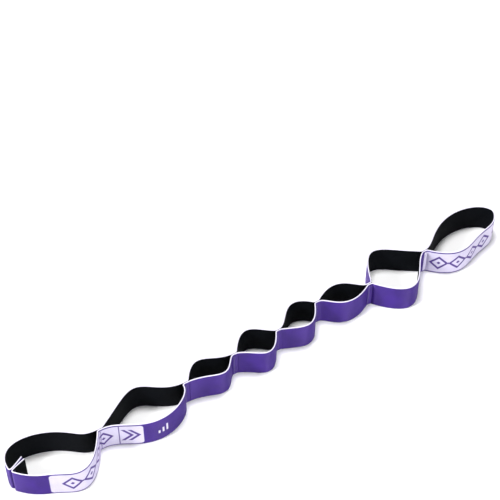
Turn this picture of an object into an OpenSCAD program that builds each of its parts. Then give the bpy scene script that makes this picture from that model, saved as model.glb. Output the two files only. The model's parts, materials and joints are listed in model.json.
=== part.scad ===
// Elastic multi-loop stretching strap, standing on one edge with its loops open.
//
// One long elastic webbing band is sewn into a ring at its left end, laid double
// and sewn across in seven rows, which leaves eight loops for the hands and feet.
// Every loop has a front strip and a back strip. Each strip is drawn in two halves
// that meet at mid-loop, where the loop lengthens, and each stitch row is a fold line.
// The strap lies along X, front towards -Y, and it stands on the plane Z = 0.

/* [Webbing] */
// Width of the webbing, which is the strap's height on edge
webbing_w = 40; // [32:1:60]
// Thickness of the webbing
webbing_t = 2; // [1.8:0.1:2.2]
// Centreline radius of the webbing's bend beside a stitch row
bend_r = 2.2; // [1.8:0.2:4]

/* [Rubber threads] */
// Number of rubber threads across the webbing
thread_count = 8; // [3:1:10]
// Thickness of one rubber thread
thread_t = 0.9; // [0.6:0.1:0.9]
// Height of one rubber thread across the webbing
thread_h = 1.6; // [1:0.1:2]
// Room around a rubber thread inside the webbing
thread_room = 0.1; // [0.1:0.05:0.2]
// Solid woven edge above and below the rubber threads
selvedge_w = 3; // [2:0.5:4]

/* [Stitch rows] */
// Length of the stitched double webbing beside a fold line
sewn_l = 3.5; // [3.5:0.5:7]
// Thickness of the sewing thread
stitch_t = 0.6; // [0.3:0.1:0.8]
// Number of stitches across the webbing
stitch_count = 10; // [6:1:14]
// Radius of the edge cord that each fold line turns about
fold_cord_r = 0.6; // [0.4:0.1:0.7]
// Running clearance around the edge cord
fold_room = 0.3; // [0.2:0.05:0.4]
// Largest fold at a stitch row, in degrees
fold_max = 60; // [30:5:60]

/* [End seam] */
// Length of the two webbing tails inside the first loop
tail_l = 18; // [12:1:22]
// Direction of the tails, in degrees from the strap's length
tail_heading = 22; // [15:1:30]
// Angle that the two tails spread apart
tail_spread = 10; // [4:1:14]
// Centreline radius of the webbing's bend at the end seam
seam_r = 2.2; // [2:0.1:3]

/* [Hidden] */

// Plan of the open loops, in millimetres from the left end, X along the strap.
SEAM = [2.5, -13];
ROWS = [[110, -18], [223, -14], [291, -9], [353, -7], [415, 4], [483, -7], [570, 0]];
TIP = [680, 6];
TIP_HEADING = 80;
TIP_L = 2;                     // straight webbing on each side of the tip

// Points that each strip curves towards on its way from one row to the next.
FRONT = [
    [[35, -57], [45, -17], [59, -99]],
    [[144, -21], [154, -67], [217, -37]],
    [[260, -17], [269, -45], [279, -12]],
    [[315, -18], [325, -47]],
    [[382, -20], [392, -30]],
    [[428, 1], [438, -31]],
    [[533, -72], [543, -14]],
    [[623, -59], [633, 14], [662, -30]]
];
BACK = [
    [[-3, 49], [103, 1], [68, -15]],
    [[163, 12], [173, 31], [182, -12]],
    [[250, 23], [260, -6]],
    [[320, 30], [330, 5]],
    [[369, -4], [379, 37]],
    [[456, 30], [466, -4]],
    [[512, 57], [522, 30]],
    [[594, 3], [604, 49], [676, 34]]
];

LOOPS = len(FRONT);
LAYER = webbing_t / 2;         // centreline of each layer from the sewn face
STEPS = 8;                     // straight steps in half a strip's curve
ARC_STEP = 12;                 // degrees in one step of a tight bend
SEWN_R = 0.35 * sewn_l;        // stitched webbing to the right of a fold line
RELIEF = tan(fold_max / 2 + 3);
SLOT_T = thread_t + thread_room;
SLOT_H = webbing_w - 2 * selvedge_w;

PURPLE = [0.34, 0.24, 0.62];
RUBBER = [0.75, 0.7, 0.6];
THREAD = [0.38, 0.3, 0.68];

// ---- plane geometry -------------------------------------------------------

function along(h) = [cos(h), sin(h)];
function left_of(h) = [-sin(h), cos(h)];
function sign_of(x) = x < 0 ? -1 : 1;
function wrapped(a) = a - 360 * floor((a + 180) / 360);
function reversed(list) = [for (i = [len(list) - 1:-1:0]) list[i]];

// Bend that leaves p with heading h and turns on radius r until it points at q.
// A turn of less than half a step has no bend.
function bend(p, h, q, r) =
    let (
        s = sign_of((q - p) * left_of(h)),
        c = p + s * r * left_of(h),
        d = q - c,
        turn = wrapped(atan2(d[1], d[0]) + s * asin(r / norm(d)) - h),
        n = round(abs(turn) / ARC_STEP)
    )
    [for (k = [0:n]) c - s * r * left_of(h + turn * k / max(n, 1))];

// Point at t on the Bezier curve with control points c.
function bezier(c, t) =
    len(c) == 1 ? c[0]
    : bezier([for (i = [0:len(c) - 2]) (1 - t) * c[i] + t * c[i + 1]], t);

// Path from one end to the other, curving towards the inner points between them,
// with the number of the point where the curve starts: [path, first].
function joined(start, inner, end) =
    let (c = concat([start[len(start) - 1]], inner, [end[0]]))
    [
        concat(start, [for (k = [1:2 * STEPS - 1]) bezier(c, k / (2 * STEPS))], end),
        len(start) - 1
    ];

// Normal of an open path at its point number i.
function normal_at(path, i) =
    let (
        a = path[max(i - 1, 0)],
        b = path[min(i + 1, len(path) - 1)],
        d = (b - a) / norm(b - a)
    )
    [-d[1], d[0]];

// Closed outline of thickness t around a path from its point a to its point b.
function outline(path, t, a, b) = concat(
    [for (i = [a:b]) path[i] + t / 2 * normal_at(path, i)],
    [for (i = [b:-1:a]) path[i] - t / 2 * normal_at(path, i)]
);

// ---- plan of the strips ----------------------------------------------------

// side is -1 for a front strip and 1 for a back strip.
function after_row(i, side, q) =
    let (p = ROWS[i] + [SEWN_R, side * LAYER])
    concat([ROWS[i] + [0, side * LAYER]], bend(p, 0, q, bend_r));

function before_row(i, side, q) =
    let (p = ROWS[i] + [-sewn_l, side * LAYER])
    concat(reversed(bend(p, 180, q, bend_r)), [ROWS[i] + [0, side * LAYER]]);

// A tail runs out of the loop to the seam, then bends round into its strip.
function from_seam(side, q) =
    let (
        s = SEAM + side * LAYER * left_of(tail_heading),
        h = tail_heading + side * tail_spread / 2,
        sewn = s + 5 * along(tail_heading)
    )
    concat([sewn + (tail_l - 5) * along(h), sewn], bend(s, tail_heading + 180, q, seam_r));

function to_tip(side) = [TIP + side * TIP_L * along(TIP_HEADING), TIP];

function strip(i, side) =
    let (
        inner = side < 0 ? FRONT[i] : BACK[i],
        first = inner[0],
        last = inner[len(inner) - 1],
        start = i == 0 ? from_seam(side, first) : after_row(i - 1, side, first),
        end = i == LOOPS - 1 ? to_tip(side) : before_row(i, side, last)
    )
    joined(start, inner, end);

// One [front strip, back strip] for each loop.
STRIPS = [for (i = [0:LOOPS - 1]) [strip(i, -1), strip(i, 1)]];

// Middle of the strap's footprint, which becomes the origin.
EDGE = [for (loop = STRIPS, s = loop, p = outline(s[0], webbing_t, 0, len(s[0]) - 1)) p];
CENTRE = [
    (min([for (p = EDGE) p[0]]) + max([for (p = EDGE) p[0]])) / 2,
    (min([for (p = EDGE) p[1]]) + max([for (p = EDGE) p[1]])) / 2
];

// ---- building blocks ---------------------------------------------------------

// Wedge that leaves room at a fold line; open is 1 when the webbing lies to its right.
module fold_relief(open) {
    reach = 2 * webbing_t;
    polygon([
        [0, 0], [open * reach * RELIEF, reach], [-open * 3 * reach, reach],
        [-open * 3 * reach, -reach], [open * reach * RELIEF, -reach]
    ]);
    circle(r = fold_cord_r + (open > 0 ? fold_room : 0), $fn = 48);
}

// Outline of half a strip: the halves share the path's middle point.
function half_outline(s, is_left, t) =
    let (mid = s[1] + STEPS)
    is_left ? outline(s[0], t, 0, mid) : outline(s[0], t, mid, len(s[0]) - 1);

// One edge of the rubber threads in half a strip, at t/2 from its path, ending at
// mid-loop. It stops short of the stitches and of the strap's right tip. The last
// step is made longer by the share past of its length.
function core_edge(s, is_left, t, past) =
    let (
        mid = s[1] + STEPS,
        ids = is_left ? [s[1]:mid] : [s[1] + 2 * STEPS:-1:mid],
        line = [for (i = ids) s[0][i] + t / 2 * normal_at(s[0], i)],
        n = len(line)
    )
    concat([for (i = [0:n - 2]) line[i]], [line[n - 1] + past * (line[n - 1] - line[n - 2])]);

function core_outline(s, is_left, t, past) =
    concat(core_edge(s, is_left, t, past), reversed(core_edge(s, is_left, -t, past)));

module webbing_half(i, side, is_left) {
    s = STRIPS[i][side < 0 ? 0 : 1];
    translate([-CENTRE[0], -CENTRE[1], 0])
        difference() {
            linear_extrude(webbing_w)
                difference() {
                    polygon(half_outline(s, is_left, webbing_t));
                    if (is_left && i > 0) translate(ROWS[i - 1]) fold_relief(1);
                    if (!is_left && i < LOOPS - 1) translate(ROWS[i]) fold_relief(-1);
                }
            translate([0, 0, selvedge_w])
                linear_extrude(SLOT_H) polygon(core_outline(s, is_left, SLOT_T, 0.5));
        }
}

module rubber_half(i, is_left) {
    pitch = SLOT_H / thread_count;
    translate([-CENTRE[0], -CENTRE[1], selvedge_w])
        for (s = STRIPS[i], k = [0:thread_count - 1])
            translate([0, 0, pitch * (k + 0.5) - thread_h / 2])
                linear_extrude(thread_h) polygon(core_outline(s, is_left, thread_t, 0));
}

// One line of lock stitches through both layers: thread on each face, joined
// through the webbing at every needle hole.
module stitch_line() {
    pitch = SLOT_H / stitch_count;
    depth = 2 * webbing_t + stitch_t;
    for (side = [-1, 1])
        translate([0, side * (webbing_t + stitch_t / 4), webbing_w / 2])
            cube([stitch_t, stitch_t / 2, SLOT_H + stitch_t], center = true);
    for (k = [0:stitch_count])
        translate([0, 0, selvedge_w + pitch * k])
            cube([stitch_t, depth, stitch_t], center = true);
}

// ---- sub-parts -----------------------------------------------------------------

module front_left(i) { color(PURPLE) webbing_half(i, -1, true); }
module front_right(i) { color(PURPLE) webbing_half(i, -1, false); }
module back_left(i) { color(PURPLE) webbing_half(i, 1, true); }
module back_right(i) { color(PURPLE) webbing_half(i, 1, false); }
module rubber_left(i) { color(RUBBER) rubber_half(i, true); }
module rubber_right(i) { color(RUBBER) rubber_half(i, false); }

// Two lines of stitches and the edge cord that the fold line turns about.
module stitch_row(i) {
    at = ROWS[i] - CENTRE;
    color(THREAD)
        translate([at[0], at[1], 0]) {
            translate([-0.8 * sewn_l, 0, 0]) stitch_line();
            translate([-0.5 * sewn_l, 0, 0]) stitch_line();
            translate([0, 0, selvedge_w]) cylinder(r = fold_cord_r, h = SLOT_H, $fn = 48);
        }
}

module end_seam_stitching() {
    at = SEAM - CENTRE + 2.2 * along(tail_heading);
    color(THREAD)
        translate([at[0], at[1], 0]) rotate([0, 0, tail_heading]) stitch_line();
}

for (i = [1:LOOPS]) {
    front_left(i - 1);
    front_right(i - 1);
    back_left(i - 1);
    back_right(i - 1);
    rubber_left(i - 1);
    rubber_right(i - 1);
}
for (i = [1:LOOPS - 1])
    stitch_row(i - 1);
end_seam_stitching();
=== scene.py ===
import json
import math

import bpy
import numpy as np
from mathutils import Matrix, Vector


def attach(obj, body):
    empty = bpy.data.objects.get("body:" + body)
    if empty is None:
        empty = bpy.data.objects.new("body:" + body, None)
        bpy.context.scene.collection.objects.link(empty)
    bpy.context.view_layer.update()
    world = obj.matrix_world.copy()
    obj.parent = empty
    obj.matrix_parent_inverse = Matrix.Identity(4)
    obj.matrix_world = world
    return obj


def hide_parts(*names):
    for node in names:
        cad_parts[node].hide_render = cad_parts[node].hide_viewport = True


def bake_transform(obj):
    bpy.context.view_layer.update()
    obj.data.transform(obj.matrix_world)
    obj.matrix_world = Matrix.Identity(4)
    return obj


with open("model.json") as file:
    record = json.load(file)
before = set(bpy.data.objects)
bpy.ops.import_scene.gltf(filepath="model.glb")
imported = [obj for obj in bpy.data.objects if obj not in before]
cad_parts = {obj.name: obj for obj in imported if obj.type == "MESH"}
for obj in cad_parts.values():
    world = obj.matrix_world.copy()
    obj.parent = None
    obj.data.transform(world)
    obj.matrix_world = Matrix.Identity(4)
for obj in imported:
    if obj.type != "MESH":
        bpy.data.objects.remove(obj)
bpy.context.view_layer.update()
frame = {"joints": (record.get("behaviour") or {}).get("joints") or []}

MM = 0.001

# ---- design values of the CAD model, in millimetres and degrees ---------------------------------

WEBBING_W = 40.0
WEBBING_T = 2.0
BEND_R = 2.2
SEWN_L = 3.5
SEWN_R = 0.35 * SEWN_L
STITCH_T = 0.6
STITCHES = 10
SELVEDGE_W = 3.0
THREADS = 8
TAIL_L = 18.0
TAIL_HEADING = 22.0
TAIL_SPREAD = 10.0
SEAM_R = 2.2
TIP_HEADING = 80.0
TIP_L = 2.0
LAYER = WEBBING_T / 2
STITCH_LINES = (-0.8 * SEWN_L, -0.5 * SEWN_L)
SEAM_STITCH = 2.2

# Plan of the open loops, X along the strap from its left end.
SEAM = (2.5, -13)
ROWS = [(110, -18), (223, -14), (291, -9), (353, -7), (415, 4), (483, -7), (570, 0)]
TIP = (680, 6)

# Points that each strip curves towards on its way from one row to the next.
FRONT = [
    [(35, -57), (45, -17), (59, -99)],
    [(144, -21), (154, -67), (217, -37)],
    [(260, -17), (269, -45), (279, -12)],
    [(315, -18), (325, -47)],
    [(382, -20), (392, -30)],
    [(428, 1), (438, -31)],
    [(533, -72), (543, -14)],
    [(623, -59), (633, 14), (662, -30)],
]
BACK = [
    [(-3, 49), (103, 1), (68, -15)],
    [(163, 12), (173, 31), (182, -12)],
    [(250, 23), (260, -6)],
    [(320, 30), (330, 5)],
    [(369, -4), (379, 37)],
    [(456, 30), (466, -4)],
    [(512, 57), (522, 30)],
    [(594, 3), (604, 49), (676, 34)],
]
LOOPS = len(FRONT)

# ---- steps of the visual model -----------------------------------------------------------------

ARC_STEP = 7.5          # degrees in one step of a tight bend
LINE_STEP = 0.5         # step of a straight stretch
CURVE_STEPS = 56        # steps in one strip's curve
CREASE_BEFORE = 1.5     # the webbing starts to turn this far before a fold line
CREASE_AFTER = 3.4      # and its crease piece ends this far after it
SEWN_TAIL = 5.0         # part of a tail that lies against the other one


# ---- plan of the strap ---------------------------------------------------------------------------

def along(heading):
    a = math.radians(heading)
    return Vector((math.cos(a), math.sin(a)))


def left_of(heading):
    return along(heading + 90)


def line(a, b):
    """Points from a to b, without b."""
    steps = max(1, round((b - a).length / LINE_STEP))
    return [a.lerp(b, k / steps) for k in range(steps)]


def bend(p, heading, q, radius):
    """Bend that leaves p with a heading and turns on a radius until it points at q."""
    side = 1 if (q - p).dot(left_of(heading)) >= 0 else -1
    centre = p + side * radius * left_of(heading)
    d = q - centre
    aim = math.degrees(math.atan2(d.y, d.x) + side * math.asin(radius / d.length))
    turn = (aim - heading + 180) % 360 - 180
    steps = math.ceil(abs(turn) / ARC_STEP)
    return [centre - side * radius * left_of(heading + turn * k / steps) for k in range(steps + 1)]


def bezier(control, t):
    while len(control) > 1:
        control = [a.lerp(b, t) for a, b in zip(control, control[1:])]
    return control[0]


def joined(start, inner, end):
    control = [start[-1], *inner, end[0]]
    curve = [bezier(control, k / CURVE_STEPS) for k in range(1, CURVE_STEPS)]
    return start + curve + end


def after_row(i, side, q):
    row = Vector(ROWS[i]) + Vector((0, side * LAYER))
    p = row + Vector((SEWN_R, 0))
    return line(row, p) + bend(p, 0, q, BEND_R)


def before_row(i, side, q):
    row = Vector(ROWS[i]) + Vector((0, side * LAYER))
    p = row - Vector((SEWN_L, 0))
    arc = bend(p, 180, q, BEND_R)[::-1]
    return arc[:-1] + line(p, row) + [row]


def from_seam(side, q):
    """A tail runs out of the loop to the seam, then bends round into its strip."""
    s = Vector(SEAM) + side * LAYER * left_of(TAIL_HEADING)
    heading = TAIL_HEADING + side * TAIL_SPREAD / 2
    sewn = s + SEWN_TAIL * along(TAIL_HEADING)
    end = sewn + (TAIL_L - SEWN_TAIL) * along(heading)
    return line(end, sewn) + line(sewn, s) + bend(s, TAIL_HEADING + 180, q, SEAM_R)


def to_tip(side):
    return line(Vector(TIP) + side * TIP_L * along(TIP_HEADING), Vector(TIP)) + [Vector(TIP)]


def strip(i, side):
    inner = [Vector(p) for p in (FRONT[i] if side < 0 else BACK[i])]
    start = from_seam(side, inner[0]) if i == 0 else after_row(i - 1, side, inner[0])
    end = to_tip(side) if i == LOOPS - 1 else before_row(i, side, inner[-1])
    return joined(start, inner, end)


def cad_shift():
    """The CAD frame's origin in plan coordinates, from the place of the first fold line."""
    first = next(j for j in frame["joints"] if j["name"] == "row_1_fold")
    return np.array(ROWS[0]) - np.array(first["pos_m"][:2]) / MM


SHIFT = cad_shift()


class Layer:
    """The path of the front (side -1) or back (side 1) layer, from its tail's end to the tip."""

    def __init__(self, side):
        self.side = side
        points = []
        ends = []
        for i in range(LOOPS):
            path = strip(i, side)
            points += path if i == 0 else path[1:]
            ends.append(len(points) - 1)
        p = np.array([tuple(v) for v in points]) - SHIFT
        self.points = p
        self.length = np.concatenate([[0], np.cumsum(np.linalg.norm(np.diff(p, axis=0), axis=1))])
        d = np.gradient(p, self.length, axis=0)
        d /= np.linalg.norm(d, axis=1)[:, None]
        self.normals = np.stack([-d[:, 1], d[:, 0]], axis=1)
        self.rows = [self.length[k] for k in ends]
        self.tip = self.rows[-1]

    def at(self, lengths):
        """Points and left normals at those lengths."""
        p = [np.interp(lengths, self.length, self.points[:, k]) for k in (0, 1)]
        n = [np.interp(lengths, self.length, self.normals[:, k]) for k in (0, 1)]
        n = np.stack(n, axis=1)
        return np.stack(p, axis=1), n / np.linalg.norm(n, axis=1)[:, None]

    def steps(self, a, b):
        """Lengths of the sections between a and b."""
        gap = 0.1
        inner = [x for x in self.length if a + gap < x < b - gap]
        return np.array([a, *inner, b])


LAYERS = {-1: Layer(-1), 1: Layer(1)}
RING_HALF = LAYERS[-1].tip - TAIL_L


def ring_place(side, length):
    """Distance along the ring of webbing: from the seam, out along the front and back behind."""
    if side < 0:
        return length - TAIL_L
    return RING_HALF + LAYERS[1].tip - length


# ---- materials -----------------------------------------------------------------------------------

# PURPLE_DEEP, BLACK_DEEP, WHITE_DEEP and PANEL_SHADE are the dark ends of the cloths' tone: painted
# shade in the grooves of the weave and of the sewing thread's twist, and the yarns' own darker tone
# along random streaks.
PURPLE = (0.041, 0.0120, 0.215, 1)
PURPLE_DEEP = (0.009, 0.0024, 0.066, 1)
INK = (0.060, 0.033, 0.19, 1)
PANEL = (0.68, 0.65, 0.78, 1)
PANEL_SHADE = (0.36, 0.33, 0.50, 1)
BLACK = (0.0032, 0.0042, 0.0064, 1)
BLACK_DEEP = (0.0012, 0.0016, 0.0028, 1)
WHITE = (0.68, 0.66, 0.74, 1)
WHITE_DEEP = (0.44, 0.41, 0.54, 1)
THREAD = (0.13, 0.07, 0.42, 1)
SHINE = (0.62, 0.45, 1.0, 1)
BLACK_SHINE = (0.6, 0.65, 0.85, 1)
LATEX = (0.72, 0.62, 0.44, 1)
LATEX_DEEP = (0.52, 0.42, 0.27, 1)
FLOOR = (0.90, 0.90, 0.905, 1)

YARN = 0.9              # width of one yarn of the weave
PICK = 1.1              # length of one pick along the strap


class Shader:
    """A material's node tree, with short calls that add nodes and join them."""

    def __init__(self, name, roughness, **sockets):
        self.material = bpy.data.materials.new(name)
        self.material.use_nodes = True
        self.tree = self.material.node_tree
        self.bsdf = self.tree.nodes["Principled BSDF"]
        self.bsdf.inputs["Roughness"].default_value = roughness
        for key, value in sockets.items():
            self.bsdf.inputs[key.replace("_", " ")].default_value = value

    def node(self, kind, **settings):
        made = self.tree.nodes.new(kind)
        for key, value in settings.items():
            setattr(made, key, value)
        return made

    def plug(self, socket, value):
        if isinstance(value, bpy.types.NodeSocket):
            self.tree.links.new(value, socket)
        else:
            socket.default_value = value

    def math(self, operation, a, b=0.0, c=0.0):
        made = self.node("ShaderNodeMath", operation=operation)
        for socket, value in zip(made.inputs, (a, b, c)):
            self.plug(socket, value)
        return made.outputs[0]

    def sum(self, *values):
        total = values[0]
        for value in values[1:]:
            total = self.math("ADD", total, value)
        return total

    def mix(self, share, a, b):
        made = self.node("ShaderNodeMix", data_type="RGBA")
        self.plug(made.inputs[0], share)
        self.plug(made.inputs[6], a)
        self.plug(made.inputs[7], b)
        return made.outputs[2]

    def between(self, value, low, high):
        """0 below low, 1 above high, and a straight ramp between them."""
        made = self.node("ShaderNodeMapRange", clamp=True)
        self.plug(made.inputs[0], value)
        made.inputs[1].default_value = low
        made.inputs[2].default_value = high
        return made.outputs[0]

    def wave(self, value, pitch, phase=0.0):
        """A sine from 0 to 1 with that pitch."""
        turns = self.math("MULTIPLY_ADD", value, 2 * math.pi / pitch, phase)
        return self.math("MULTIPLY_ADD", self.math("SINE", turns), 0.5, 0.5)

    def cloth_place(self):
        """Distance along the ring, height on the webbing, in millimetres."""
        place = self.node("ShaderNodeAttribute", attribute_name="cloth")
        split = self.node("ShaderNodeSeparateXYZ")
        self.plug(split.inputs[0], place.outputs["Vector"])
        return split.outputs[0], split.outputs[1], place.outputs["Vector"]

    def noise(self, place, stretch, scale, detail=2.0):
        mapping = self.node("ShaderNodeMapping")
        self.plug(mapping.inputs[0], place)
        mapping.inputs["Scale"].default_value = stretch
        made = self.node("ShaderNodeTexNoise")
        self.plug(made.inputs["Vector"], mapping.outputs[0])
        made.inputs["Scale"].default_value = scale
        made.inputs["Detail"].default_value = detail
        return made.outputs["Fac"]

    def weave(self, s, z, yarn=YARN, pick=PICK):
        """Height of a ribbed weave, with rows of yarn along the strap.

        Each row's picks lie half a step from the next row's.
        """
        row = self.math("FLOOR", self.math("DIVIDE", z, yarn))
        phase = self.math("MULTIPLY", row, math.pi)
        picks = self.wave(s, pick, phase)
        ribs = self.math("ABSOLUTE", self.math("SINE", self.math("MULTIPLY", z, math.pi / yarn)))
        return self.math("MULTIPLY", ribs, self.math("MULTIPLY_ADD", picks, 0.6, 0.4))

    def shine_across_yarns(self):
        """Stretches highlights up and down the webbing, since its satin yarns run along it."""
        up = self.node("ShaderNodeVectorTransform", vector_type="VECTOR",
                       convert_from="OBJECT", convert_to="WORLD")
        up.inputs[0].default_value = (0, 0, 1)
        self.plug(self.bsdf.inputs["Tangent"], up.outputs[0])

    def finish(self, colour, height, distance, strength=0.6):
        bump = self.node("ShaderNodeBump")
        bump.inputs["Strength"].default_value = strength
        bump.inputs["Distance"].default_value = distance * MM
        self.plug(bump.inputs["Height"], height)
        self.plug(self.bsdf.inputs["Base Color"], colour)
        self.plug(self.bsdf.inputs["Normal"], bump.outputs[0])
        return self.material


class Shapes:
    """Flat shapes on the webbing, as masks from 0 to 1 with an edge as soft as one yarn."""

    def __init__(self, shader, s, z):
        self.g = shader
        self.s = s
        self.z = z

    def solid(self, distance, soft=0.35):
        """1 inside the shape, where the distance is negative."""
        return self.g.math("SUBTRACT", 1.0, self.g.between(distance, -soft, soft))

    def offset(self, value, centre):
        return self.g.math("ABSOLUTE", self.g.math("SUBTRACT", value, centre))

    def box(self, s0, s1, z0, z1, corner=0.4):
        """Box with rounded corners."""
        qs = self.g.math("SUBTRACT", self.offset(self.s, (s0 + s1) / 2), (s1 - s0) / 2 - corner)
        qz = self.g.math("SUBTRACT", self.offset(self.z, (z0 + z1) / 2), (z1 - z0) / 2 - corner)
        ps = self.g.math("MAXIMUM", qs, 0.0)
        pz = self.g.math("MAXIMUM", qz, 0.0)
        square = self.g.sum(self.g.math("MULTIPLY", ps, ps), self.g.math("MULTIPLY", pz, pz))
        outside = self.g.math("SQRT", square)
        inside = self.g.math("MINIMUM", self.g.math("MAXIMUM", qs, qz), 0.0)
        return self.solid(self.g.math("SUBTRACT", self.g.sum(outside, inside), corner))

    def lozenge(self, s, centre_s, centre_z, half, stroke):
        """Outline of a lozenge around a place on the webbing."""
        reach = self.g.sum(self.offset(s, centre_s), self.offset(self.z, centre_z))
        ring = self.g.math("ABSOLUTE", self.g.math("SUBTRACT", reach, half))
        return self.solid(self.g.math("SUBTRACT", ring, stroke * 0.7))

    def chevron(self, tip, centre_z, rise, stroke):
        """Arrow-like stroke whose arms run back from its tip."""
        arm = self.g.math("ADD", self.g.math("SUBTRACT", self.s, tip), self.offset(self.z, centre_z))
        band = self.g.math("SUBTRACT", self.g.math("ABSOLUTE", arm), stroke * 0.7)
        height = self.g.math("SUBTRACT", self.offset(self.z, centre_z), rise)
        return self.solid(self.g.math("MAXIMUM", band, height))

    def repeated(self, pitch, start):
        """The distance along the strap, folded into steps of that pitch from start."""
        shifted = self.g.math("SUBTRACT", self.s, start)
        return self.g.math("FLOORED_MODULO", shifted, pitch)

    def any(self, *masks):
        found = masks[0]
        for mask in masks[1:]:
            found = self.g.math("MAXIMUM", found, mask)
        return found

    def both(self, a, b):
        return self.g.math("MULTIPLY", a, b)


# Woven panels: where they start and end along the ring, and the patterns on them.
PANEL_EDGE = 2.6
PANEL_1 = (43.0, 186.0)
PANEL_1_RULE = 158.5    # line woven across the first panel
RULE_W = 1.2
PATTERN_1 = (56.0, 152.0)
MARK_1 = 173.0
PANEL_CORNER = 4.0
PANEL_8_CORNER = 1.5
PANEL_WRAP = 16.0       # how far the last panel runs round the tip
PANEL_8 = (LAYERS[-1].rows[6] - TAIL_L - 1.8, RING_HALF + PANEL_WRAP)
PITCH = 24.0            # from one lozenge of a chain to the next
PATTERN_8_START = PANEL_8[0] + 8.0
PATTERN_8 = (PATTERN_8_START, PATTERN_8_START + 4 * PITCH)
MARK_8 = RING_HALF - 14.0
MIDDLE = WEBBING_W / 2
RING_SIZE = 10.2        # middle of a lozenge to the middle of its stroke, along either axis
RING_STROKE = 2.9
DOT_SIZE = 0.8
DOT_STROKE = 2.6
MARK_STROKE = 3.2
MARK_SIZE = 3.0
CHEVRON_RISE = 10.5     # half the height of a chevron
CHEVRON_STEP = 8.0      # from one chevron to the next
BARS = 3                # rising bars beside the first panel
BAR_START = 203.0
BAR_STEP = 5.0
BAR_W = 2.2
BAR_FOOT = 14.0
BAR_TOP = 19.0
BAR_RISE = 3.5


def ornament(shapes, span):
    """Chain of lozenges with a small solid one inside each and between them."""
    folded = shapes.repeated(PITCH, span[0])
    ring = shapes.lozenge(folded, PITCH / 2, MIDDLE, RING_SIZE, RING_STROKE)
    dot = shapes.lozenge(folded, PITCH / 2, MIDDLE, DOT_SIZE, DOT_STROKE)
    joints = [shapes.lozenge(folded, s, MIDDLE, 0.0, DOT_STROKE) for s in (0.0, PITCH)]
    chain = shapes.box(*span, 0, WEBBING_W)
    between = shapes.box(span[0] + PITCH / 2, span[1] - PITCH / 2, 0, WEBBING_W)
    return shapes.any(
        shapes.both(shapes.any(ring, dot), chain),
        shapes.both(shapes.any(*joints), between),
    )


def rising_bars(shapes):
    """Short bars on the webbing, each taller than the one before."""
    bars = []
    for k in range(BARS):
        left = BAR_START + BAR_STEP * k
        bars.append(shapes.box(left, left + BAR_W, BAR_FOOT, BAR_TOP + BAR_RISE * k))
    return shapes.any(*bars)


def panel_patterns(shapes):
    """Everything that is woven dark into the white panels."""
    left = PANEL_1_RULE - RULE_W / 2
    rule = shapes.box(left, left + RULE_W, SELVEDGE_W, WEBBING_W - SELVEDGE_W)
    chevrons = [
        shapes.chevron(MARK_1 + step, MIDDLE, CHEVRON_RISE, MARK_STROKE)
        for step in (CHEVRON_STEP, 0.0)
    ]
    chains = [ornament(shapes, span) for span in (PATTERN_1, PATTERN_8)]
    last = shapes.lozenge(shapes.s, MARK_8, MIDDLE, MARK_SIZE, MARK_STROKE)
    return shapes.any(rule, *chevrons, *chains, last)


def outer_cloth():
    """Purple satin weave with the white woven panels and their patterns."""
    g = Shader("outer_cloth", 0.66, Sheen_Weight=0.34, Sheen_Roughness=0.22,
               Sheen_Tint=SHINE, Specular_IOR_Level=1.0, Specular_Tint=SHINE,
               Anisotropic=0.95)
    g.shine_across_yarns()
    s, z, place = g.cloth_place()
    height = g.weave(s, z)
    streaks = g.noise(place, (0.05, 1.6, 1), 1.2)
    # Large random blotches of lighter and darker cloth.
    blotches = g.between(g.noise(place, (1.0, 0.8, 1), 0.045), 0.36, 0.64)
    # Darker where the weave is low: painted shade in the grooves between the yarns, mixed with random
    # streaks of darker yarn.
    threads = g.math("MULTIPLY_ADD", streaks, 0.5, g.math("MULTIPLY", height, 0.62))
    tone = g.math("MULTIPLY_ADD", blotches, 0.26, threads)
    purple = g.mix(g.between(tone, 0.1, 0.95), PURPLE_DEEP, PURPLE)
    white = g.mix(g.between(tone, 0.0, 0.8), PANEL_SHADE, PANEL)
    shapes = Shapes(g, s, z)
    low, high = PANEL_EDGE, WEBBING_W - PANEL_EDGE
    first = shapes.box(*PANEL_1, low, high, PANEL_CORNER)
    last = shapes.box(*PANEL_8, low, high, PANEL_8_CORNER)
    colour = g.mix(shapes.any(first, last), purple, white)
    colour = g.mix(panel_patterns(shapes), colour, INK)
    colour = g.mix(rising_bars(shapes), colour, WHITE)
    return g.finish(colour, height, 0.16)


def inner_cloth():
    """Black inner face, with the rubber threads showing as faint ribs."""
    g = Shader("inner_cloth", 0.66, Sheen_Weight=0.01, Sheen_Roughness=0.5,
               Sheen_Tint=BLACK_SHINE, Specular_IOR_Level=0.03)
    s, z, place = g.cloth_place()
    height = g.weave(s, z, YARN * 0.8, PICK * 1.4)
    streaks = g.noise(place, (0.04, 1.4, 1), 1.5)
    # Darker where the weave is low: painted shade in the grooves between the yarns, mixed with random
    # streaks of darker yarn.
    tone = g.math("MULTIPLY_ADD", streaks, 0.6, g.math("MULTIPLY", height, 0.5))
    colour = g.mix(g.between(tone, 0.2, 0.9), BLACK_DEEP, BLACK)
    return g.finish(colour, height, 0.14)


def selvedge():
    """White woven edge, with picks across it."""
    g = Shader("selvedge", 0.55, Sheen_Weight=0.2, Sheen_Roughness=0.5)
    s, _, place = g.cloth_place()
    picks = g.wave(s, 0.8)
    streaks = g.noise(place, (0.3, 1.0, 1), 1.5)
    # Darker between the picks: painted shade in the weave's grooves, mixed with random streaks of
    # darker yarn.
    tone = g.math("MULTIPLY_ADD", streaks, 0.3, g.math("MULTIPLY", picks, 0.7))
    colour = g.mix(g.between(tone, 0.05, 0.75), WHITE_DEEP, WHITE)
    return g.finish(colour, picks, 0.12)


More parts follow.
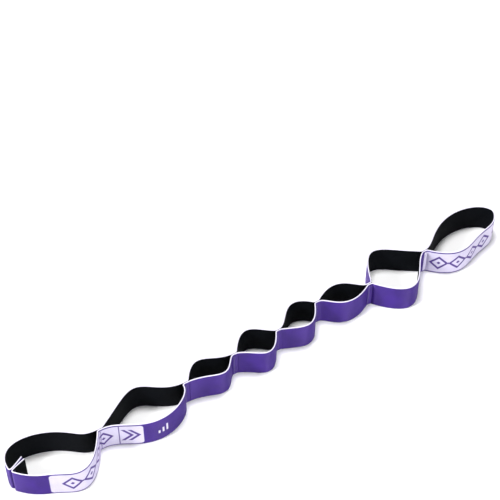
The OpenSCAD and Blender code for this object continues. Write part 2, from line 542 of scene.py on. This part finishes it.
def sewing_thread():
    """Twisted sewing thread."""
    g = Shader("sewing_thread", 0.42, Sheen_Weight=0.3, Specular_IOR_Level=0.5)
    where = g.node("ShaderNodeNewGeometry").outputs["Position"]
    split = g.node("ShaderNodeSeparateXYZ")
    g.plug(split.inputs[0], where)
    slant = g.math("MULTIPLY_ADD", split.outputs[0], 0.7, split.outputs[2])
    twist = g.wave(slant, 0.45 * MM)
    # Darker in the grooves of the twist: painted shade.
    colour = g.mix(twist, PURPLE_DEEP, THREAD)
    return g.finish(colour, twist, 0.05)


def latex():
    """Cut ends of the rubber threads."""
    g = Shader("latex", 0.5, Specular_IOR_Level=0.4)
    where = g.node("ShaderNodeNewGeometry").outputs["Position"]
    grain = g.noise(where, (1, 1, 1), 1800.0)
    return g.finish(g.mix(grain, LATEX_DEEP, LATEX), grain, 0.05)


def floor_paint():
    g = Shader("floor_paint", 0.7, Specular_IOR_Level=0.2)
    where = g.node("ShaderNodeNewGeometry").outputs["Position"]
    grain = g.noise(where, (1, 1, 1), 40.0)
    shade = tuple(0.985 * c for c in FLOOR[:3]) + (1,)
    return g.finish(g.mix(grain, shade, FLOOR), grain, 0.02)


# ---- meshes ----------------------------------------------------------------------------------------

OUTER, EDGE, INNER = 0, 1, 2    # material slots of the webbing
EDGE_W = 0.65                   # height of the white edge on each face
EDGE_T = 0.65                   # half the thickness of the white edge
BODY_T = 0.93                   # half the webbing's thickness between its edges
RIB = 0.045                     # how far the rubber threads show through the cloth
PINCH = 0.14                    # how far a line of stitches pulls the outer face in
PINCH_W = 0.9


def face_profile():
    """Half thickness against height on one face, from the bottom edge to the top one."""
    rise = SELVEDGE_W
    span = WEBBING_W - 2 * rise
    steps = 4 * THREADS
    body = [
        (BODY_T + RIB * (1 - math.cos(2 * math.pi * THREADS * k / steps)) / 2, rise + span * k / steps)
        for k in range(steps + 1)
    ]
    low = [(EDGE_T, EDGE_T), (EDGE_T, EDGE_W), (EDGE_T + 0.04, EDGE_W + 0.15), (BODY_T, EDGE_W + 0.5)]
    high = [(t, WEBBING_W - z) for t, z in reversed(low)]
    return low + body + high


def ring_profile():
    """Closed section of the webbing: (offset, height, material, share that a stitch line pulls in)."""
    face = face_profile()
    cap = [(math.cos(a), math.sin(a)) for a in (math.pi * k / 8 for k in range(1, 8))]
    outer = [(t, z, EDGE if min(z, WEBBING_W - z) < EDGE_W else OUTER, 1) for t, z in face]
    top = [(EDGE_T * c, WEBBING_W - EDGE_T + EDGE_T * s, EDGE, 0) for c, s in cap]
    inner = [(-t, z, EDGE if min(z, WEBBING_W - z) < EDGE_W else INNER, 0) for t, z in reversed(face)]
    bottom = [(-EDGE_T * c, EDGE_T - EDGE_T * s, EDGE, 0) for c, s in cap]
    return outer + top + inner + bottom


PROFILE = ring_profile()


def new_object(name, mesh, materials, smooth=True):
    for m in materials:
        mesh.materials.append(m)
    mesh.polygons.foreach_set("use_smooth", [smooth] * len(mesh.polygons))
    obj = bpy.data.objects.new(name, mesh)
    bpy.context.scene.collection.objects.link(obj)
    return obj


def pinch_at(side, lengths):
    """How far each section's outer face is pulled in by the lines of stitches at the rows."""
    pull = np.zeros(len(lengths))
    for row in LAYERS[side].rows[:-1]:
        for place in STITCH_LINES:
            pull += PINCH * np.exp(-(((lengths - row - place) / PINCH_W) ** 2))
    return np.minimum(pull, PINCH)


def webbing(name, side, a, b, materials):
    """One closed length of webbing from length a to length b of a layer."""
    layer = LAYERS[side]
    lengths = layer.steps(a, b)
    points, normals = layer.at(lengths)
    out = normals * side
    pull = pinch_at(side, lengths)
    ring = len(PROFILE)
    verts = []
    places = []
    for k, length in enumerate(lengths):
        for offset, z, _, share in PROFILE:
            p = points[k] + out[k] * (offset - pull[k] * share)
            verts.append((p[0] * MM, p[1] * MM, z * MM))
            places.append((ring_place(side, length), z, 0.0))
    faces = []
    slots = []
    for k in range(len(lengths) - 1):
        for j in range(ring):
            n = (j + 1) % ring
            quad = [k * ring + j, k * ring + n, (k + 1) * ring + n, (k + 1) * ring + j]
            faces.append(quad if side > 0 else quad[::-1])
            slots.append(EDGE if PROFILE[j][2] == EDGE or PROFILE[n][2] == EDGE else PROFILE[j][2])
    last = (len(lengths) - 1) * ring
    start_cap = list(range(ring))
    end_cap = [last + j for j in range(ring)][::-1]
    faces += [start_cap[::-1], end_cap[::-1]] if side > 0 else [start_cap, end_cap]
    slots += [INNER, INNER]
    mesh = bpy.data.meshes.new(name)
    mesh.from_pydata(verts, [], faces)
    obj = new_object(name, mesh, materials)
    mesh.polygons.foreach_set("material_index", slots)
    for cap in mesh.polygons[-2:]:
        cap.use_smooth = False
    attribute = mesh.attributes.new("cloth", "FLOAT_VECTOR", "POINT")
    attribute.data.foreach_set("vector", np.array(places, np.float32).ravel())
    mesh.update()
    return obj


END_REACH = 0.6         # how far a tube's end stands past its path, as a share of its radius
END_SHARE = 0.35        # and how thin it gets there
STITCH_GAP = 0.1        # share of a stitch's pitch that is left free at each end
STITCH_SUNK = 0.06      # how far a stitch lies in the cloth
STITCH_BOW = [(0, 0.55), (0.12, 0.12), (0.5, 0.0), (0.88, 0.12), (1, 0.55)]


def tube(verts, faces, path, radius, sides=8):
    """Adds a round tube with rounded ends along a path of points, in millimetres."""
    spine = [Vector(p) for p in path]
    before = spine[0] - (spine[1] - spine[0]).normalized() * radius * END_REACH
    after = spine[-1] + (spine[-1] - spine[-2]).normalized() * radius * END_REACH
    spine = [before, *spine, after]
    ends = (0, len(spine) - 1)
    base = len(verts)
    for k, p in enumerate(spine):
        d = (spine[min(k + 1, len(spine) - 1)] - spine[max(k - 1, 0)]).normalized()
        u = d.orthogonal().normalized() if abs(d.z) < 0.7 else d.cross(Vector((1, 0.3, 0))).normalized()
        v = d.cross(u)
        r = radius * END_SHARE if k in ends else radius
        for j in range(sides):
            a = 2 * math.pi * j / sides
            verts.append(p + (u * math.cos(a) + v * math.sin(a)) * r)
    for k in range(len(spine) - 1):
        for j in range(sides):
            n = (j + 1) % sides
            faces.append([base + k * sides + j, base + k * sides + n,
                          base + (k + 1) * sides + n, base + (k + 1) * sides + j])
    faces.append([base + j for j in range(sides)][::-1])
    top = base + (len(spine) - 1) * sides
    faces.append([top + j for j in range(sides)])


def stitch_mesh(name, centre, heading, places, material):
    """Lines of stitches through both layers, on both faces; centre is a plan coordinate."""
    verts = []
    faces = []
    forward = along(heading).to_3d()
    out = left_of(heading).to_3d()
    pitch = (WEBBING_W - 2 * SELVEDGE_W) / STITCHES
    radius = STITCH_T / 2
    origin = Vector((centre[0] - SHIFT[0], centre[1] - SHIFT[1], 0))
    for place in places:
        for side in (-1, 1):
            for k in range(STITCHES):
                low = SELVEDGE_W + pitch * (k + STITCH_GAP)
                high = SELVEDGE_W + pitch * (k + 1 - STITCH_GAP)
                path = []
                for t, depth in STITCH_BOW:
                    z = low + (high - low) * t
                    y = side * (WEBBING_T - STITCH_SUNK - depth)
                    path.append(origin + forward * place + out * y + Vector((0, 0, z)))
                tube(verts, faces, path, radius)
    mesh = bpy.data.meshes.new(name)
    mesh.from_pydata([v * MM for v in verts], [], faces)
    mesh.update()
    return new_object(name, mesh, [material])


RUBBER_HALF_T = 0.42    # half the thickness and half the height of a rubber thread
RUBBER_HALF_H = 0.75
RUBBER_RINGS = [(0.3, 1.0), (-0.2, 1.0), (-0.32, 0.7)]      # (place along it, share of its size)


def rubber_ends(name, side, material):
    """The cut rubber threads that show at the end of a tail."""
    layer = LAYERS[side]
    points, normals = layer.at(np.array([0.0, 1.0]))
    inward = Vector((*(points[1] - points[0]), 0)).normalized()
    across = Vector((*normals[0], 0))
    pitch = (WEBBING_W - 2 * SELVEDGE_W) / THREADS
    sides = 12
    verts = []
    faces = []
    for k in range(THREADS):
        centre = Vector((*points[0], SELVEDGE_W + pitch * (k + 0.5)))
        base = len(verts)
        for depth, share in RUBBER_RINGS:
            for j in range(sides):
                a = 2 * math.pi * j / sides
                up = Vector((0, 0, RUBBER_HALF_H * math.sin(a)))
                flat = across * RUBBER_HALF_T * math.cos(a) + up
                verts.append((centre + inward * depth + flat * share) * MM)
        for ring in range(2):
            for j in range(sides):
                n = (j + 1) % sides
                faces.append([base + ring * sides + j, base + ring * sides + n,
                              base + (ring + 1) * sides + n, base + (ring + 1) * sides + j])
        faces.append([base + j for j in range(sides)][::-1])
        faces.append([base + 2 * sides + j for j in range(sides)])
    mesh = bpy.data.meshes.new(name)
    mesh.from_pydata(verts, [], faces)
    mesh.update()
    return new_object(name, mesh, [material])


# ---- the strap -------------------------------------------------------------------------------------

CLOTHS = [outer_cloth(), selvedge(), inner_cloth()]
SEWING = sewing_thread()
RUBBER = latex()
FACES = {-1: "front", 1: "back"}


def make_strip(i, side):
    """The webbing of one side of loop i, from the crease on its left to the one on its right."""
    layer = LAYERS[side]
    start = 0.0 if i == 0 else layer.rows[i - 1] + CREASE_AFTER
    end = layer.tip if i == LOOPS - 1 else layer.rows[i] - CREASE_BEFORE
    name = f"loop_{i + 1}_{FACES[side]}"
    piece = webbing(name, side, start, end, CLOTHS)
    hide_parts(f"{name}_left", f"{name}_right",
                f"loop_{i + 1}_rubber_left", f"loop_{i + 1}_rubber_right")
    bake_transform(piece)
    return piece, end - start


def make_crease(i, side):
    """The webbing that turns at row i."""
    layer = LAYERS[side]
    name = f"row_{i + 1}_{FACES[side]}"
    piece = webbing(name, side, layer.rows[i] - CREASE_BEFORE, layer.rows[i] + CREASE_AFTER, CLOTHS)
    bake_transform(piece)
    return piece


def make_row_stitches(i):
    name = f"row_{i + 1}_stitches"
    piece = stitch_mesh(name, ROWS[i], 0, STITCH_LINES, SEWING)
    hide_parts(f"stitch_row_{i + 1}")
    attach(piece, f"loop_{i + 1}_right")


def make_end_seam():
    piece = stitch_mesh("end_seam_stitches", SEAM, TAIL_HEADING, (SEAM_STITCH,), SEWING)
    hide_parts("end_seam_stitching")
    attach(piece, "loop_1_left")
    for side in (-1, 1):
        ends = rubber_ends(f"tail_rubber_{FACES[side]}", side, RUBBER)
        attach(ends, "loop_1_left")


def make_strap():
    for i in range(LOOPS - 1):
        make_row_stitches(i)
        for side in (-1, 1):
            make_crease(i, side)
    make_end_seam()
    for i in range(LOOPS):
        for side in (-1, 1):
            piece, length = make_strip(i, side)


# ---- stage -----------------------------------------------------------------------------------------

LENS = 108.0
CAMERA_AIM = Vector((0.0661, 0.1528, 0.0))
CAMERA_LOOK = Vector((0.530, 0.848, 0.0))
CAMERA_ELEVATION = 50.0
CAMERA_DISTANCE = 1.889
FLOOR_HALF = 6.0
FLOOR_Z = -0.0002
SKY_LIGHT = 0.29
LIGHTS = [
    # name, place, size and power
    ("side", (-2.65, 0.35, 2.0), 0.9, 116.0),
    ("front", (0.2, -2.5, 1.5), 0.9, 38.0),
    ("top", (0.0, 0.25, 2.5), 0.8, 62.0),
]


def make_camera():
    data = bpy.data.cameras.new("camera")
    data.lens = LENS
    data.clip_end = 50
    camera = bpy.data.objects.new("camera", data)
    bpy.context.scene.collection.objects.link(camera)
    e = math.radians(CAMERA_ELEVATION)
    look = CAMERA_LOOK.normalized() * math.cos(e) - Vector((0, 0, math.sin(e)))
    camera.location = CAMERA_AIM - look * CAMERA_DISTANCE
    camera.rotation_euler = look.to_track_quat("-Z", "Y").to_euler()
    bpy.context.scene.camera = camera


def make_light(name, place, size, power):
    data = bpy.data.lights.new(name, "AREA")
    data.shape = "DISK"
    data.size = size
    data.energy = power
    light = bpy.data.objects.new(name, data)
    bpy.context.scene.collection.objects.link(light)
    light.location = place
    light.rotation_euler = (-Vector(place)).to_track_quat("-Z", "Y").to_euler()


def make_stage():
    ends = [(-1, -1), (1, -1), (1, 1), (-1, 1)]
    corners = [(x * FLOOR_HALF, y * FLOOR_HALF, FLOOR_Z) for x, y in ends]
    mesh = bpy.data.meshes.new("floor")
    mesh.from_pydata(corners, [], [(0, 1, 2, 3)])
    floor = new_object("floor", mesh, [floor_paint()], smooth=False)
    world = bpy.data.worlds.new("world")
    world.use_nodes = True
    background = world.node_tree.nodes["Background"]
    background.inputs["Color"].default_value = (1, 1, 1, 1)
    background.inputs["Strength"].default_value = SKY_LIGHT
    bpy.context.scene.world = world
    for light in LIGHTS:
        make_light(*light)
    bpy.context.scene.view_settings.view_transform = "Standard"


make_camera()
make_strap()
make_stage()
